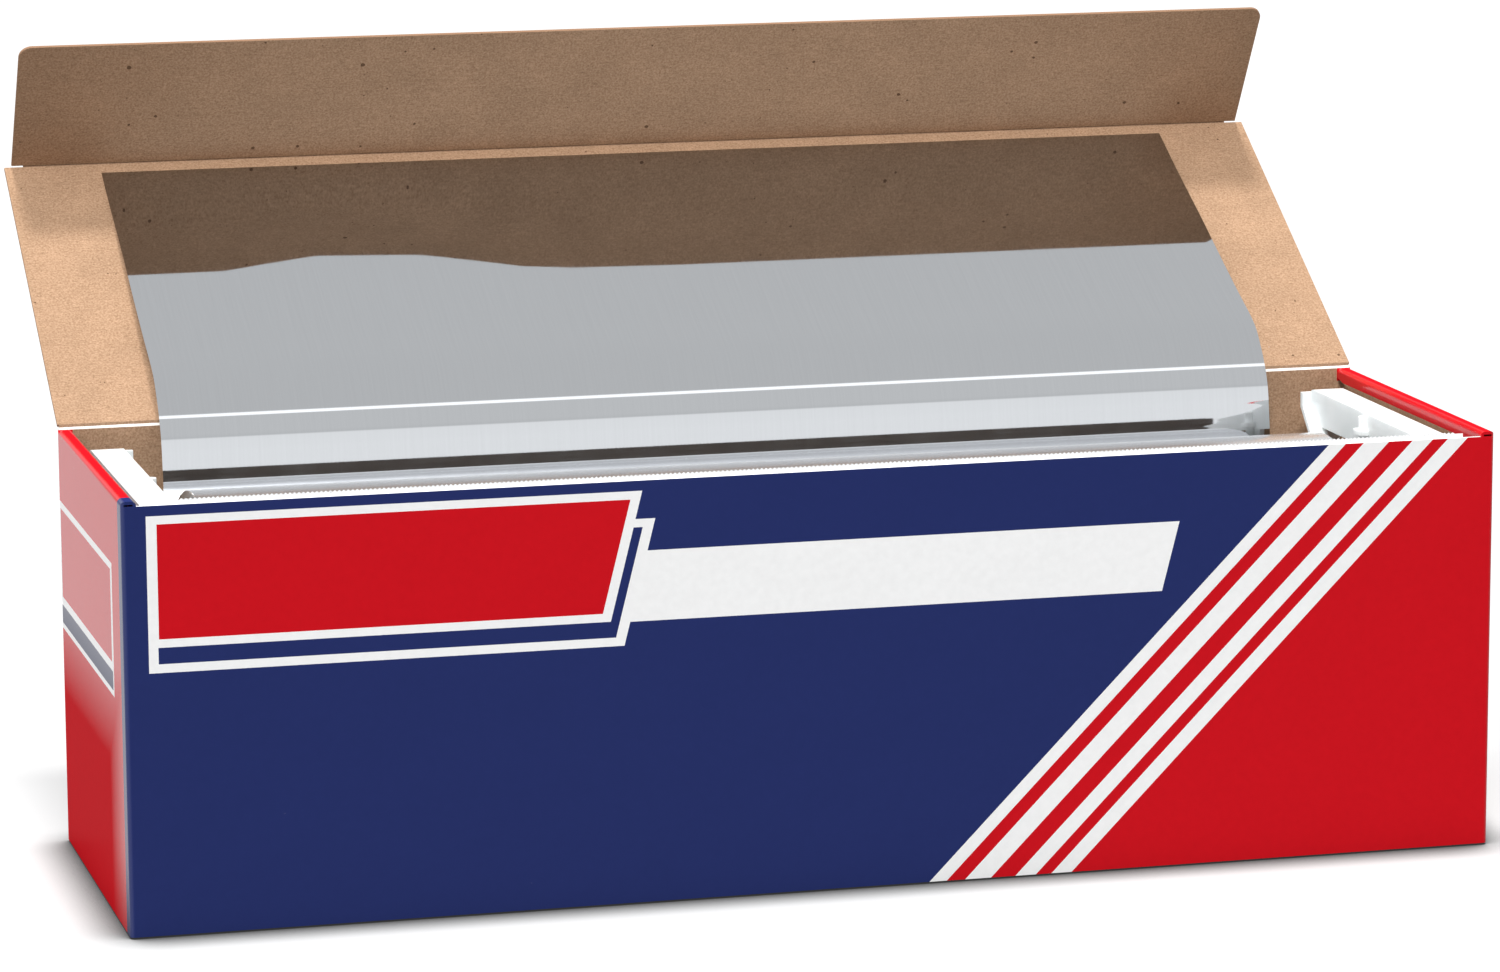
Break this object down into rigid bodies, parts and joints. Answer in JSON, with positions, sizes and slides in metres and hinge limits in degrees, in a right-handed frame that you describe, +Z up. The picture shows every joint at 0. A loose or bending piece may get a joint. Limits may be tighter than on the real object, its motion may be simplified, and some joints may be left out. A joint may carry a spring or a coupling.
{
  "type": "aluminium foil roll in a cutter box",
  "caption": "Catering roll of aluminium foil in a long board cutter box, lid open, with a foil length drawn up onto the lid; lid and flap fold, roll turns on end holders.",
  "frame": {"origin": "middle of the carton's bottom face, where it stands on the table", "axes": "+X along the box, front panel towards -Y, lid hinge at +Y, +Z up"},
  "size_m": [0.357, 0.1975, 0.202],
  "materials": {
    "printed_board": "satin print outside, brown board inside",
    "cutter_steel": "bright",
    "foil": "bright rolled",
    "core_board": "plain",
    "milky_plastic": "milky, slightly see-through"
  },
  "bodies": {
    "carton": {"carton": "printed_board", "cutter_strip": "cutter_steel", "right_end_holder": "milky_plastic", "left_end_holder": "milky_plastic", "foil_sheet": "foil"},
    "lid": {"lid": "printed_board"},
    "closing_flap": {"closing_flap": "printed_board"},
    "roll": {"foil_roll": "foil", "core_tube": "core_board"}
  },
  "joints": [
    {"name": "lid_hinge", "type": "hinge", "parent": "carton", "child": "lid", "pos_m": [0, 0.0528, 0.10985], "axis": [1, 0, 0], "range_deg": [-51.8, 148.2], "deforming": ["foil_sheet"]},
    {"name": "flap_crease", "type": "hinge", "parent": "lid", "child": "closing_flap", "pos_m": [0, 0.14433, 0.1666], "axis": [1, 0, 0], "range_deg": [-91, 0.5]},
    {"name": "roll_spin", "type": "hinge", "parent": "carton", "child": "roll", "pos_m": [0, 0, 0.0546], "axis": [1, 0, 0], "continuous": true}
  ]
}
